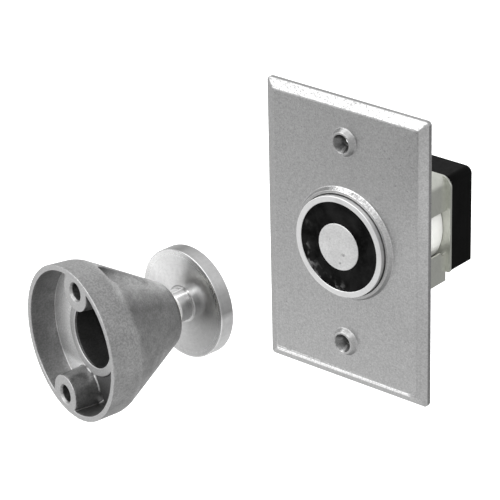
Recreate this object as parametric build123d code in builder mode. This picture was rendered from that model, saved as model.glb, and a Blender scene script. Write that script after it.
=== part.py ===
"""Magnetic door holder: a recessed wall electromagnet and a door-mounted swivelling catch plate.

Millimetres, +Z up. The origin is the centre of the wall plate on its back face, so the wall is
the plane y = 0, the room is on the -Y side and the wall box is on the +Y side. The magnet's axis
is the Y axis. The door half stands in the room in front of the magnet, on an axis of its own.
"""
import os
from math import cos, radians, sin, sqrt

from build123d import *

os.makedirs("parts", exist_ok=True)

# ---------------------------------------------------------------- driving dimensions
# wall plate
plate_w, plate_h = 76.2, 117.5
plate_corner_r = 1.6
plate_rim_y = -1.9          # front edge of the plate's side
plate_face_y = -3.5         # flat field inside the bevel
plate_bevel = 3.8
plate_pocket_y = -1.3       # floor of the hollow in the back
plate_pocket_wall = 3.0
screw_pitch = 83.34         # two wall box screws, one above the other
screw_hole_r = 1.85
boss_foot_r, boss_crest_r, boss_mouth_r = 5.7, 4.5, 3.75
boss_crest_y, boss_seat_y = -5.6, -1.65
collar_in_r, collar_crest_r, collar_foot_r, collar_y = 20.8, 22.0, 22.95, -5.4
opening_r = collar_in_r

# electromagnet
pole_face_y = -7.6
cup_r, cup_in_r = 20.5, 18.1
cup_shell_r = 21.4          # behind the frame's web
cup_back_y, cup_floor_y = 29.6, 25.3
core_r = 9.5
core_spigot_r = 6.0
potting_y = -7.2
bobbin_front_y, bobbin_rear_y, bobbin_flange = -4.6, 25.2, 1.2
bobbin_in_r, bobbin_tube_r, bobbin_flange_r = 9.6, 10.6, 18.0
winding_r = 17.3
label_r = 21.6
label_y0, label_y1 = 1.6, 29.4
lead_x, lead_z, lead_r = 4.2, 14.2, 0.9

# folded frame behind the plate
sheet = 0.8
frame_half = 23.0
frame_top, frame_low = 22.5, -21.6
frame_corner_r = 4.0
web_y0, web_y1 = -1.3, 0.0
frame_end_y = 29.6
notch_low, notch_high, notch_y = -8.9, 8.1, 4.0
ear_w, ear_end_z = 20.0, 47.5
fix_screw_z = 30.0
tab_x_up, tab_z_up = 16.2, 14.6
tab_x_low, tab_z_low = 18.0, 12.4
cover_screw_up = (18.5, 17.3)
cover_screw_low = (20.0, 14.6)

# bridge plate and rear cover
bridge_x, bridge_y0, bridge_y1 = 25.0, 29.6, 30.6
bridge_top, bridge_low = 22.0, -17.8
bridge_corner_r = 4.0
cover_y1 = 43.5
cover_wall = 2.0
cover_top, cover_bottom = 22.0, -17.4
gland_z = 1.5

# circuit board and terminals
board_y0, board_y1 = 33.3, 34.9
board_x, board_top, board_low = 15.4, 17.6, -13.4
block_y1 = 40.8

# door half
ball_at = (-17.33, -96.39, 0.0)     # ball centre at rest
housing_yaw = 15.4                  # degrees from +Y towards +X
plate_yaw = 6.3
rim_r, rim_in_r = 29.2, 27.0
band_depth, band_r = 10.5, 28.6
floor_depth, floor_in_r = 10.0, 26.3
ball_depth = 33.0                   # ball centre, from the rim plane
nose_depth = 41.5
tube_r, tube_face_depth, bore_r, bore_depth = 15.0, 9.3, 11.8, 24.0
guide_r = 8.3
boss_at_r, boss_angle = 23.0, 77.0
boss_r, boss_draft = 7.2, 4.0
door_hole_r = 3.1
seat_depth, access_r = 11.7, 6.0
pocket_depth, pocket_apex = 20.0, 12.2
ball_r = 8.0
bush_in_r, bush_out_r, bush_y0, bush_y1 = 7.3, 8.7, 38.6, 42.1
neck_r, neck_in_r = 6.2, 5.5
catch_near = 17.0                   # back face of the catch plate, from the ball centre
catch_t, catch_r = 5.9, 20.9


def finish(piece, name):
    """Label one finished piece and write it."""
    piece.label = name
    export_step(piece, "parts/" + name + ".step")


def facing(y):
    """Plane square to Y at height y, seen from the room: x right, y up, normal towards the room."""
    return Plane(origin=(0, y, 0), x_dir=(1, 0, 0), z_dir=(0, -1, 0))


# ================================================================ wall unit
# ---- wall plate: one pressed and ground plate with a bevelled border and a raised collar
with BuildPart() as wall_plate:
    with BuildSketch(facing(0)):
        RectangleRounded(plate_w, plate_h, plate_corner_r)
    extrude(amount=-plate_rim_y)
    with BuildSketch(facing(plate_rim_y)):
        RectangleRounded(plate_w, plate_h, plate_corner_r)
    with BuildSketch(facing(plate_face_y)):
        RectangleRounded(plate_w - 2 * plate_bevel, plate_h - 2 * plate_bevel, 1.0)
    loft()
    # raised collar round the magnet opening
    with BuildSketch(Plane.XY):
        with BuildLine():
            Polyline(
                (collar_in_r - 0.6, plate_pocket_y),
                (collar_in_r - 0.6, collar_y),
                (collar_crest_r - 0.12, collar_y),
                (collar_crest_r + 0.08, collar_y + 0.08),
                (collar_foot_r - 0.12, plate_face_y - 0.12),
                (collar_foot_r + 0.3, plate_face_y + 0.02),
                (collar_foot_r + 0.3, plate_pocket_y),
                close=True,
            )
        make_face()
    revolve(axis=Axis.Y)
    # hollow back
    with BuildSketch(facing(0)):
        RectangleRounded(plate_w - 2 * plate_pocket_wall, plate_h - 2 * plate_pocket_wall, 2.0)
    extrude(amount=-plate_pocket_y, mode=Mode.SUBTRACT)
    # opening for the magnet
    with BuildSketch(facing(0)):
        Circle(opening_r)
    extrude(amount=8, mode=Mode.SUBTRACT)
# raised bosses round the two countersunk screw holes, and the blind holes for the plate fixing screws
with BuildPart() as boss_form:
    with BuildSketch(Plane.XY):
        with BuildLine():
            Polyline(
                (0, plate_pocket_y),
                (0, boss_crest_y),
                (boss_crest_r - 0.12, boss_crest_y),
                (boss_crest_r + 0.08, boss_crest_y + 0.08),
                (boss_foot_r - 0.12, plate_face_y - 0.12),
                (boss_foot_r + 0.3, plate_face_y + 0.02),
                (boss_foot_r + 0.3, plate_pocket_y),
                close=True,
            )
        make_face()
    revolve(axis=Axis.Y)
with BuildPart() as screw_hole_tool:
    with BuildSketch(Plane.XY):
        with BuildLine():
            Polyline(
                (0, plate_pocket_y + 0.4),
                (screw_hole_r, plate_pocket_y + 0.4),
                (screw_hole_r, boss_seat_y),
                (boss_mouth_r - 0.06, boss_crest_y + 0.12),
                (boss_mouth_r + 0.1, boss_crest_y - 0.05),
                (boss_mouth_r + 0.1, boss_crest_y - 0.5),
                (0, boss_crest_y - 0.5),
                close=True,
            )
        make_face()
    revolve(axis=Axis.Y)
with BuildPart() as fix_hole_tool:
    with BuildSketch(facing(plate_pocket_y + 0.2)):
        with GridLocations(0, 2 * fix_screw_z, 1, 2):
            Circle(1.5)
    extrude(amount=1.9)
with wall_plate:
    for z in (screw_pitch / 2, -screw_pitch / 2):
        add(boss_form.part.moved(Location((0, 0, z))))
        add(screw_hole_tool.part.moved(Location((0, 0, z))), mode=Mode.SUBTRACT)
    add(fix_hole_tool.part, mode=Mode.SUBTRACT)
finish(wall_plate.part, "wall_plate")

# ---- pole cup: turned steel cup, its rim is the outer pole
with BuildPart() as pole_cup:
    with BuildSketch(Plane.XY):
        with BuildLine():
            Polyline(
                (core_spigot_r + 0.05, cup_back_y),
                (core_spigot_r + 0.05, cup_floor_y),
                (cup_in_r, cup_floor_y),
                (cup_in_r, pole_face_y + 0.15),
                (cup_in_r + 0.15, pole_face_y),
                (cup_r - 0.3, pole_face_y),
                (cup_r, pole_face_y + 0.3),
                (cup_r, web_y1),
                (cup_shell_r, web_y1),
                (cup_shell_r, cup_back_y - 0.15),
                (cup_shell_r - 0.15, cup_back_y),
                close=True,
            )
        make_face()
    revolve(axis=Axis.Y)
    with BuildSketch(facing(cup_back_y + 1)):
        with Locations((-lead_x, lead_z), (lead_x, lead_z)):
            Circle(1.6)
    extrude(amount=8, mode=Mode.SUBTRACT)
finish(pole_cup.part, "pole_cup")

# ---- core: inner pole, spigotted through the floor of the cup and tapped for the centre screw
with BuildPart() as core_pole:
    with BuildSketch(Plane.XY):
        with BuildLine():
            Polyline(
                (0, pole_face_y),
                (core_r - 0.25, pole_face_y),
                (core_r, pole_face_y + 0.25),
                (core_r, cup_floor_y),
                (core_spigot_r, cup_floor_y),
                (core_spigot_r, cup_back_y),
                (3.0, cup_back_y),
                (3.0, cup_back_y - 15.0),
                (0, cup_back_y - 16.6),
                close=True,
            )
        make_face()
    revolve(axis=Axis.Y)
finish(core_pole.part, "core_pole")

# ---- coil bobbin: moulded spool
with BuildPart() as coil_bobbin:
    with BuildSketch(Plane.XY):
        with BuildLine():
            Polyline(
                (bobbin_in_r, bobbin_front_y),
                (bobbin_flange_r, bobbin_front_y),
                (bobbin_flange_r, bobbin_front_y + bobbin_flange),
                (bobbin_tube_r, bobbin_front_y + bobbin_flange),
                (bobbin_tube_r, bobbin_rear_y - bobbin_flange),
                (bobbin_flange_r, bobbin_rear_y - bobbin_flange),
                (bobbin_flange_r, bobbin_rear_y),
                (bobbin_in_r, bobbin_rear_y),
                close=True,
            )
        make_face()
    revolve(axis=Axis.Y)
    with BuildSketch(facing(bobbin_rear_y + 0.5)):
        with Locations((-lead_x, lead_z), (lead_x, lead_z)):
            Circle(lead_r + 0.05)
    extrude(amount=bobbin_flange + 0.6, mode=Mode.SUBTRACT)
finish(coil_bobbin.part, "coil_bobbin")

# ---- coil winding: enamelled wire, one solid
with BuildPart() as coil_winding:
    with BuildSketch(Plane.XY):
        with Locations(((bobbin_tube_r + winding_r) / 2, (bobbin_front_y + bobbin_rear_y) / 2)):
            Rectangle(winding_r - bobbin_tube_r - 0.1, bobbin_rear_y - bobbin_front_y - 2 * bobbin_flange - 0.1)
    revolve(axis=Axis.Y)
finish(coil_winding.part, "coil_winding")

# ---- potting ring: cast resin that closes the front of the coil, just below the poles
with BuildPart() as potting_ring:
    with BuildSketch(Plane.XY):
        with BuildLine():
            Polyline(
                (core_r, bobbin_front_y),
                (core_r, potting_y - 0.22),
                (core_r + 0.45, potting_y - 0.1),
                (core_r + 1.1, potting_y),
                (cup_in_r - 0.6, potting_y),
                (cup_in_r, potting_y - 0.12),
                (cup_in_r, bobbin_front_y),
                close=True,
            )
        make_face()
    revolve(axis=Axis.Y)
finish(potting_ring.part, "potting_ring")

# ---- label wrap: bare film sleeve round the cup, behind the plate
with BuildPart() as label_wrap:
    with BuildSketch(Plane.XY):
        with Locations(((cup_shell_r + label_r) / 2, (label_y0 + label_y1) / 2)):
            Rectangle(label_r - cup_shell_r, label_y1 - label_y0)
    revolve(axis=Axis.Y)
finish(label_wrap.part, "label_wrap")

# ---- coil leads: two insulated wires from the bobbin to the board
with BuildPart() as coil_leads:
    with BuildSketch(facing(board_y0)):
        with Locations((-lead_x, lead_z), (lead_x, lead_z)):
            Circle(lead_r)
    extrude(amount=board_y0 - (bobbin_rear_y - bobbin_flange))
finish(coil_leads.part, "coil_leads")

# ---- magnet frame: one folded and plated sheet, front web with two ears, a top and two side walls,
# open below, rear tabs
with BuildPart() as magnet_frame:
    with BuildSketch(facing(web_y0)):
        with Locations((0, (frame_top + frame_low) / 2)):
            Rectangle(2 * frame_half, frame_top - frame_low)
    extrude(amount=-(frame_end_y - web_y0))
    fillet(
        magnet_frame.edges().filter_by(Axis.Y).filter_by(lambda e: e.center().Z > 0),
        radius=frame_corner_r,
    )
    with BuildSketch(facing(web_y1)):
        with Locations((0, frame_top - sheet - 20)):
            RectangleRounded(2 * (frame_half - sheet), 40, frame_corner_r - sheet)
        with Locations((0, -12)):
            Rectangle(2 * (frame_half - sheet), 26)
    extrude(amount=-(frame_end_y - web_y1 + 1), mode=Mode.SUBTRACT)
    # hole for the magnet in the web
    with BuildSketch(facing(web_y0 - 0.5)):
        Circle(20.75)
    extrude(amount=-2.5, mode=Mode.SUBTRACT)
    # ears under the plate for the wall box screws
    for side in (1, -1):
        with BuildSketch(facing(web_y0)):
            with BuildLine():
                z0 = frame_top - 0.6 if side > 0 else frame_low + 0.6
                z1, r = side * ear_end_z, 4.0
                Polyline(
                    (-ear_w / 2, z0),
                    (-ear_w / 2, z1 - side * r),
                    (-ear_w / 2 + r, z1),
                    (ear_w / 2 - r, z1),
                    (ear_w / 2, z1 - side * r),
                    (ear_w / 2, z0),
                    close=True,
                )
            make_face()
        extrude(amount=-(web_y1 - web_y0))
    with BuildSketch(facing(web_y0 - 0.5)):
        with GridLocations(0, screw_pitch, 1, 2):
            Circle(screw_hole_r)
        with GridLocations(0, 2 * fix_screw_z, 1, 2):
            Circle(1.6)
    extrude(amount=-2.5, mode=Mode.SUBTRACT)
    # open notches in both side walls
    with BuildSketch(Plane.YZ.offset(-30)):
        with BuildLine():
            Polyline(
                (notch_y, notch_low),
                (frame_end_y + 1, notch_low),
                (frame_end_y + 1, notch_high),
                (notch_y, notch_high),
                close=True,
            )
        make_face()
        with Locations((frame_end_y - 1.6, notch_low)):
            Circle(1.5)
    extrude(amount=60, mode=Mode.SUBTRACT)
    # four tabs folded in at the rear, tapped for the cover screws
    with BuildSketch(facing(frame_end_y)):
        for sx in (1, -1):
            with Locations((sx * (tab_x_up + frame_half - 0.4) / 2, (tab_z_up + 19.6) / 2)):
                Rectangle(frame_half - 0.4 - tab_x_up, 19.6 - tab_z_up)
            with Locations((sx * (tab_x_low + frame_half - 0.4) / 2, -(tab_z_low + 17.2) / 2)):
                Rectangle(frame_half - 0.4 - tab_x_low, 17.2 - tab_z_low)
        with Locations(*[(sx * cover_screw_up[0], cover_screw_up[1]) for sx in (1, -1)]):
            Circle(1.5, mode=Mode.SUBTRACT)
        with Locations(*[(sx * cover_screw_low[0], -cover_screw_low[1]) for sx in (1, -1)]):
            Circle(1.5, mode=Mode.SUBTRACT)
    extrude(amount=sheet)
finish(magnet_frame.part, "magnet_frame")

# ---- plate fixing screws: short pan heads that hang the plate on the frame's ears
with BuildPart() as plate_fixing_screws:
    with BuildSketch(facing(web_y1)):
        with GridLocations(0, 2 * fix_screw_z, 1, 2):
            Circle(1.5)
    extrude(amount=2.8)
    with BuildSketch(facing(web_y1)):
        with GridLocations(0, 2 * fix_screw_z, 1, 2):
            Circle(2.8)
    extrude(amount=-1.7)
    with BuildSketch(facing(web_y1 + 1.7)):
        with GridLocations(0, 2 * fix_screw_z, 1, 2):
            Rectangle(3.0, 0.7)
            Rectangle(0.7, 3.0)
    extrude(amount=1.0, mode=Mode.SUBTRACT)
finish(plate_fixing_screws.part, "plate_fixing_screws")

# ---- bridge plate: flat plated strip across the rear of the frame that carries the magnet
with BuildPart() as bridge_plate:
    with BuildSketch(facing(bridge_y1)):
        with Locations((0, (bridge_top + bridge_low) / 2)):
            Rectangle(2 * bridge_x, bridge_top - bridge_low)
        Circle(3.3, mode=Mode.SUBTRACT)
        with Locations((-lead_x, lead_z), (lead_x, lead_z)):
            Circle(1.6, mode=Mode.SUBTRACT)
        with Locations(*[(sx * cover_screw_up[0], cover_screw_up[1]) for sx in (1, -1)]):
            Circle(1.7, mode=Mode.SUBTRACT)
        with Locations(*[(sx * cover_screw_low[0], -cover_screw_low[1]) for sx in (1, -1)]):
            Circle(1.7, mode=Mode.SUBTRACT)
        with Locations(*[(sx * 12.8, z) for sx in (1, -1) for z in (15.2, -11.0)]):
            Circle(1.0, mode=Mode.SUBTRACT)
    extrude(amount=bridge_y1 - bridge_y0)
    corners = bridge_plate.edges().filter_by(Axis.Y).filter_by(lambda e: abs(e.center().X) > 24.5)
    fillet(corners.filter_by(lambda e: e.center().Z > 0), radius=bridge_corner_r)
    corners = bridge_plate.edges().filter_by(Axis.Y).filter_by(lambda e: abs(e.center().X) > 24.5)
    fillet(corners.filter_by(lambda e: e.center().Z < -17), radius=0.8)
finish(bridge_plate.part, "bridge_plate")

# ---- centre screw and its spring washer
with BuildPart() as centre_screw:
    with BuildSketch(facing(bridge_y1 + 1.2)):
        Circle(3.0)
    extrude(amount=bridge_y1 + 1.2 - (cup_back_y - 13.5))
    with BuildSketch(facing(bridge_y1 + 1.2)):
        RegularPolygon(5.0, 6, major_radius=False)
    extrude(amount=-4.0)
finish(centre_screw.part, "centre_screw")

with BuildPart() as lock_washer:
    with BuildSketch(facing(bridge_y1)):
        Circle(5.6)
        Circle(3.2, mode=Mode.SUBTRACT)
        with Locations((4.6, 0)):
            Rectangle(3.2, 0.6, mode=Mode.SUBTRACT)
    extrude(amount=-1.2)
finish(lock_washer.part, "lock_washer")

# ---- rear cover: moulded box closed at the back, with four screw posts and a cable hole
cover_mid = (cover_top + cover_bottom) / 2
cover_h = cover_top - cover_bottom
with BuildPart() as rear_cover:
    with BuildSketch(facing(bridge_y1)):
        with Locations((0, cover_mid)):
            Rectangle(2 * bridge_x, cover_h)
    extrude(amount=-(cover_y1 - bridge_y1))
    fillet(rear_cover.edges().filter_by(Axis.Y).filter_by(lambda e: e.center().Z > 0), radius=2.8)
    fillet(rear_cover.edges().filter_by(Axis.Y).filter_by(lambda e: e.center().Z < 0), radius=0.8)
    fillet(rear_cover.faces().sort_by(Axis.Y)[-1].edges(), radius=0.4)
    with BuildSketch(facing(bridge_y1)):
        with Locations((0, cover_mid)):
            RectangleRounded(2 * (bridge_x - cover_wall), cover_h - 2 * cover_wall, 1.0)
    extrude(amount=-(cover_y1 - cover_wall - bridge_y1), mode=Mode.SUBTRACT)
    with BuildSketch(facing(bridge_y1)):
        with Locations(*[(sx * cover_screw_up[0], cover_screw_up[1]) for sx in (1, -1)]):
            Circle(3.2)
        with Locations(*[(sx * cover_screw_low[0], -cover_screw_low[1]) for sx in (1, -1)]):
            Circle(2.7)
    extrude(amount=-(cover_y1 - 1.0 - bridge_y1))
    with BuildSketch(facing(bridge_y1 - 1)):
        with Locations(*[(sx * cover_screw_up[0], cover_screw_up[1]) for sx in (1, -1)]):
            Circle(1.7)
        with Locations(*[(sx * cover_screw_low[0], -cover_screw_low[1]) for sx in (1, -1)]):
            Circle(1.7)
    extrude(amount=-(cover_y1 + 2 - bridge_y1), mode=Mode.SUBTRACT)
    with BuildSketch(facing(cover_y1 + 1)):
        with Locations(*[(sx * cover_screw_up[0], cover_screw_up[1]) for sx in (1, -1)]):
            Circle(2.5)
        with Locations(*[(sx * cover_screw_low[0], -cover_screw_low[1]) for sx in (1, -1)]):
            Circle(2.3)
    extrude(amount=1 + 1.6, mode=Mode.SUBTRACT)
    with BuildSketch(facing(cover_y1 + 1)):
        with Locations((0, gland_z)):
            Circle(5.0)
    extrude(amount=6, mode=Mode.SUBTRACT)
finish(rear_cover.part, "rear_cover")

# ---- cover screws: four alike
screw_spots = [(sx * cover_screw_up[0], cover_screw_up[1]) for sx in (1, -1)]
screw_spots += [(sx * cover_screw_low[0], -cover_screw_low[1]) for sx in (1, -1)]
with BuildPart() as cover_screws:
    with BuildSketch(facing(cover_y1 - 1.6)):
        with Locations(*screw_spots):
            Circle(1.5)
    extrude(amount=cover_y1 - 1.6 - (frame_end_y - sheet - 0.4))
    with BuildSketch(facing(cover_y1 - 0.1)):
        with Locations(*screw_spots):
            Circle(2.25)
    extrude(amount=1.5)
    with BuildSketch(facing(cover_y1 - 0.1)):
        with Locations(*screw_spots):
            Rectangle(2.6, 0.6)
            Rectangle(0.6, 2.6)
    extrude(amount=0.8, mode=Mode.SUBTRACT)
finish(cover_screws.part, "cover_screws")

# ---- cable grommet: rubber ring in the cover's back wall
with BuildPart() as cable_grommet:
    with BuildSketch(Plane.XY):
        with BuildLine():
            Polyline(
                (3.4, cover_y1 - cover_wall - 0.9),
                (6.1, cover_y1 - cover_wall - 0.9),
                (6.4, cover_y1 - cover_wall),
                (5.0, cover_y1 - cover_wall),
                (5.0, cover_y1),
                (6.6, cover_y1),
                (6.4, cover_y1 + 1.1),
                (4.2, cover_y1 + 1.5),
                (3.4, cover_y1 + 1.1),
                close=True,
            )
        make_face()
    revolve(axis=Axis.Y)
finish(cable_grommet.part.moved(Location((0, 0, gland_z))), "cable_grommet")

# ---- circuit board and what stands on it
with BuildPart() as circuit_board:
    with BuildSketch(facing(board_y1)):
        with Locations((0, (board_top + board_low) / 2)):
            Rectangle(2 * board_x, board_top - board_low)
        Circle(7.0, mode=Mode.SUBTRACT)
        with Locations(*[(sx * 12.8, z) for sx in (1, -1) for z in (15.2, -11.0)]):
            Circle(1.1, mode=Mode.SUBTRACT)
    extrude(amount=board_y1 - board_y0)
    # corner cut back from the cover's screw posts
    with BuildSketch(facing(board_y1 + 1)):
        with Locations(*[(sx * cover_screw_up[0], cover_screw_up[1]) for sx in (1, -1)]):
            Circle(3.5)
    extrude(amount=4, mode=Mode.SUBTRACT)
finish(circuit_board.part, "circuit_board")

with BuildPart() as board_spacers:
    with BuildSketch(facing(board_y0)):
        with Locations(*[(sx * 12.8, z) for sx in (1, -1) for z in (15.2, -11.0)]):
            Circle(2.0)
            Circle(1.15, mode=Mode.SUBTRACT)
    extrude(amount=board_y0 - bridge_y1)
finish(board_spacers.part, "board_spacers")

with BuildPart() as board_screws:
    with BuildSketch(facing(board_y1)):
        with Locations(*[(sx * 12.8, z) for sx in (1, -1) for z in (15.2, -11.0)]):
            Circle(1.0)
    extrude(amount=board_y1 - 30.1)
    with BuildSketch(facing(board_y1)):
        with Locations(*[(sx * 12.8, z) for sx in (1, -1) for z in (15.2, -11.0)]):
            Circle(1.9)
    extrude(amount=-1.3)
finish(board_screws.part, "board_screws")

with BuildPart() as bridge_rectifier:
    with BuildSketch(facing(board_y1)):
        with Locations((-4.5, 12.0)):
            Rectangle(9.0, 7.0)
    extrude(amount=-4.2)
    chamfer(bridge_rectifier.edges().filter_by(Axis.Y).sort_by(Axis.X)[0], length=1.2)
finish(bridge_rectifier.part, "bridge_rectifier")

with BuildPart() as surge_varistor:
    with BuildSketch(facing(board_y1)):
        with Locations((6.0, 12.0)):
            Circle(4.4)
    extrude(amount=-3.2)
    fillet(surge_varistor.faces().sort_by(Axis.Y)[-1].edges(), radius=1.0)
finish(surge_varistor.part, "surge_varistor")

with BuildPart() as terminal_block:
    with BuildSketch(facing(board_y1)):
        with Locations((0, -10.4)):
            Rectangle(17.4, 5.6)
    extrude(amount=-(block_y1 - board_y1))
    with BuildSketch(facing(block_y1 + 1)):
        with GridLocations(5.6, 0, 3, 1):
            with Locations((0, -10.4)):
                Circle(1.7)
    extrude(amount=1 + 4.0, mode=Mode.SUBTRACT)
    with BuildSketch(Plane.XY.offset(-14.5)):
        with GridLocations(5.6, 0, 3, 1):
            with Locations((0, board_y1 + 2.2)):
                Rectangle(2.8, 2.4)
    extrude(amount=3.4, mode=Mode.SUBTRACT)
finish(terminal_block.part, "terminal_block")

with BuildPart() as terminal_screws:
    with BuildSketch(facing(block_y1 - 0.7)):
        with GridLocations(5.6, 0, 3, 1):
            with Locations((0, -10.4)):
                Circle(1.65)
    extrude(amount=3.2)
    with BuildSketch(facing(block_y1 - 0.7)):
        with GridLocations(5.6, 0, 3, 1):
            with Locations((0, -10.4)):
                Rectangle(2.8, 0.5)
    extrude(amount=0.6, mode=Mode.SUBTRACT)
finish(terminal_screws.part, "terminal_screws")

# ================================================================ door half
hx, hy = sin(radians(housing_yaw)), cos(radians(housing_yaw))
px, py = sin(radians(plate_yaw)), cos(radians(plate_yaw))
rim_at = (ball_at[0] - hx * ball_depth, ball_at[1] - hy * ball_depth, 0.0)
# section planes: local x is the radius, local y runs along the axis towards the wall
housing_section = Plane(origin=rim_at, x_dir=(hy, -hx, 0), z_dir=(0, 0, 1))
housing_axis = Axis(rim_at, (hx, hy, 0))
catch_section = Plane(origin=ball_at, x_dir=(py, -px, 0), z_dir=(0, 0, 1))
catch_axis = Axis(ball_at, (px, py, 0))


def across(depth):
    """Plane square to the housing's axis at a depth from the rim, normal towards the door."""
    at = (rim_at[0] + hx * depth, rim_at[1] + hy * depth, 0.0)
    return Plane(origin=at, x_dir=(hy, -hx, 0), z_dir=(-hx, -hy, 0))


boss_spots = [
    (boss_at_r * cos(radians(boss_angle + a)), boss_at_r * sin(radians(boss_angle + a))) for a in (0, 180)
]
flank_slope = (band_r - 12.0) / (39.6 - band_depth)


def flank(depth):
    return band_r - flank_slope * (depth - band_depth)


# ---- armature housing: one casting, rim band, conical flank, nose, central tube and two bosses
with BuildPart() as armature_housing:
    with BuildSketch(housing_section):
        with BuildLine():
            Polyline(
                (0, 0),
                (rim_r - 0.25, 0),
                (rim_r, 0.25),
                (band_r, band_depth),
                (flank(39.0), 39.0),
                (flank(39.0) - 0.9, 40.1),
                (flank(39.0) - 1.9, 40.9),
                (flank(39.0) - 3.1, nose_depth),
                (0, nose_depth),
                close=True,
            )
        make_face()
    revolve(axis=housing_axis)
    # shallow mouth inside the rim, down to the floor
    with BuildSketch(housing_section):
        with BuildLine():
            Polyline(
                (tube_r, -1),
                (rim_in_r + 0.2, -1),
                (rim_in_r, 0.3),
                (floor_in_r, floor_depth),
                (tube_r, floor_depth),
                close=True,
            )
        make_face()
        with BuildLine():
            Polyline(
                (0, -1), (tube_r + 0.1, -1), (tube_r + 0.1, tube_face_depth), (0, tube_face_depth), close=True,
            )
        make_face()
    revolve(axis=housing_axis, mode=Mode.SUBTRACT)
    # stepped bore for the ball, its cup and the plug, and the seat ahead of the ball
    with BuildSketch(housing_section):
        with BuildLine():
            seat_r = ball_r + 0.05
            Polyline(
                (0, -2),
                (bore_r + 0.4, -2),
                (bore_r + 0.4, tube_face_depth),
                (bore_r, tube_face_depth + 0.5),
                (bore_r, bore_depth),
                (guide_r, bore_depth),
                (guide_r, ball_depth - 0.5),
                (seat_r * cos(radians(5)), ball_depth + seat_r * sin(radians(5))),
            )
            ThreePointArc(
                (seat_r * cos(radians(5)), ball_depth + seat_r * sin(radians(5))),
                (seat_r * cos(radians(18)), ball_depth + seat_r * sin(radians(18))),
                (seat_r * cos(radians(30)), ball_depth + seat_r * sin(radians(30))),
            )
            Polyline(
                (seat_r * cos(radians(30)), ball_depth + seat_r * sin(radians(30))),
                (seat_r * cos(radians(30)), bush_y0),
                (bush_out_r, bush_y0),
                (bush_out_r, nose_depth + 1),
                (0, nose_depth + 1),
                (0, -2),
            )
        make_face()
    revolve(axis=housing_axis, mode=Mode.SUBTRACT)
# a wedge-shaped core pocket round each boss, open to the mouth
with BuildPart() as pocket_tool:
    with BuildSketch(housing_section):
        with BuildLine():
            Polyline(
                (tube_r, floor_depth - 1),
                (floor_in_r + 0.1, floor_depth - 1),
                (floor_in_r, floor_depth),
                (flank(pocket_depth) - 2.8, pocket_depth),
                (tube_r + 0.4, pocket_depth),
                close=True,
            )
        make_face()
    revolve(axis=housing_axis)
    with BuildSketch(across(pocket_depth + 1)):
        for a in (0, 180):
            ca, sa = cos(radians(boss_angle + a)), sin(radians(boss_angle + a))
            with BuildLine():
                Polyline(
                    (pocket_apex * ca, pocket_apex * sa),
                    ((pocket_apex + 30) * ca - 30 * sa, (pocket_apex + 30) * sa + 30 * ca),
                    ((pocket_apex + 30) * ca + 30 * sa, (pocket_apex + 30) * sa - 30 * ca),
                    close=True,
                )
            make_face()
    extrude(amount=pocket_depth, mode=Mode.INTERSECT)
with BuildPart() as boss_tool:
    with BuildSketch(across(0)):
        with Locations(*boss_spots):
            Circle(boss_r)
    extrude(amount=-(pocket_depth + 0.5), taper=-boss_draft)
with BuildPart() as outer_form:
    with BuildSketch(housing_section):
        with BuildLine():
            Polyline(
                (0, 0), (rim_r - 0.25, 0), (rim_r, 0.25), (band_r, band_depth), (flank(39.0), 39.0), (0, 39.0),
                close=True,
            )
        make_face()
    revolve(axis=housing_axis)
    with BuildSketch(housing_section):
        with BuildLine():
            Polyline((0, -2), (tube_r - 0.05, -2), (tube_r - 0.05, 40), (0, 40), close=True)
        make_face()
    revolve(axis=housing_axis, mode=Mode.SUBTRACT)
with boss_tool:
    add(outer_form.part, mode=Mode.INTERSECT)
with armature_housing:
    add(pocket_tool.part, mode=Mode.SUBTRACT)
    add(boss_tool.part)
    with BuildSketch(across(-1)):
        with Locations(*boss_spots):
            Circle(door_hole_r)
    extrude(amount=-(seat_depth + 2), mode=Mode.SUBTRACT)
    with BuildSketch(across(seat_depth)):
        with Locations(*boss_spots):
            Circle(access_r)
    extrude(amount=-32, mode=Mode.SUBTRACT)
finish(armature_housing.part, "armature_housing")

# ---- catch plate: turned disc with its shoulder, neck and threaded stud in one piece
with BuildPart() as catch_plate:
    with BuildSketch(catch_section):
        with BuildLine():
            near, far = catch_near, catch_near + catch_t
            Polyline(
                (0, -4.0),
                (2.4, -4.0),
                (3.0, -3.4),
                (3.0, 5.7),
                (neck_in_r, 5.7),
                (neck_in_r, 10.4),
                (neck_r, 11.3),
                (neck_r, near - 0.9),
                (neck_r + 0.9, near - 0.8),
                (neck_r + 1.0, near),
                (catch_r - 0.5, near),
                (catch_r, near + 0.5),
                (catch_r, far - 0.4),
                (catch_r - 0.4, far),
                (0, far),
                close=True,
            )
        make_face()
    revolve(axis=catch_axis)
finish(catch_plate.part, "catch_plate")

# ---- swivel ball: turned ball tapped from the front, with a flat for the neck
with BuildPart() as swivel_ball:
    with BuildSketch(catch_section):
        with BuildLine():
            flat = 5.7
            flat_r = sqrt(ball_r**2 - flat**2)
            Line((0, -ball_r), (0, -5.6))
            Polyline((0, -5.6), (3.05, -4.2), (3.05, flat), (flat_r, flat))
            ThreePointArc((flat_r, flat), (ball_r, 0), (0, -ball_r))
        make_face()
    revolve(axis=catch_axis)
finish(swivel_ball.part, "swivel_ball")

# ---- pressure cup: hollow-faced ring that the spring pushes on the back of the ball
with BuildPart() as pressure_cup:
    with BuildSketch(housing_section):
        with BuildLine():
            cup_sphere = ball_r + 0.04
            a = (3.6, ball_depth - sqrt(cup_sphere**2 - 3.6**2))
            b = (5.4, ball_depth - sqrt(cup_sphere**2 - 5.4**2))
            c = (7.0, ball_depth - sqrt(cup_sphere**2 - 7.0**2))
            Polyline(c, (8.2, c[1]), (8.2, 25.1), (3.6, 25.1), a)
            ThreePointArc(a, b, c)
        make_face()
    revolve(axis=housing_axis)
finish(pressure_cup.part, "pressure_cup")

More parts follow.
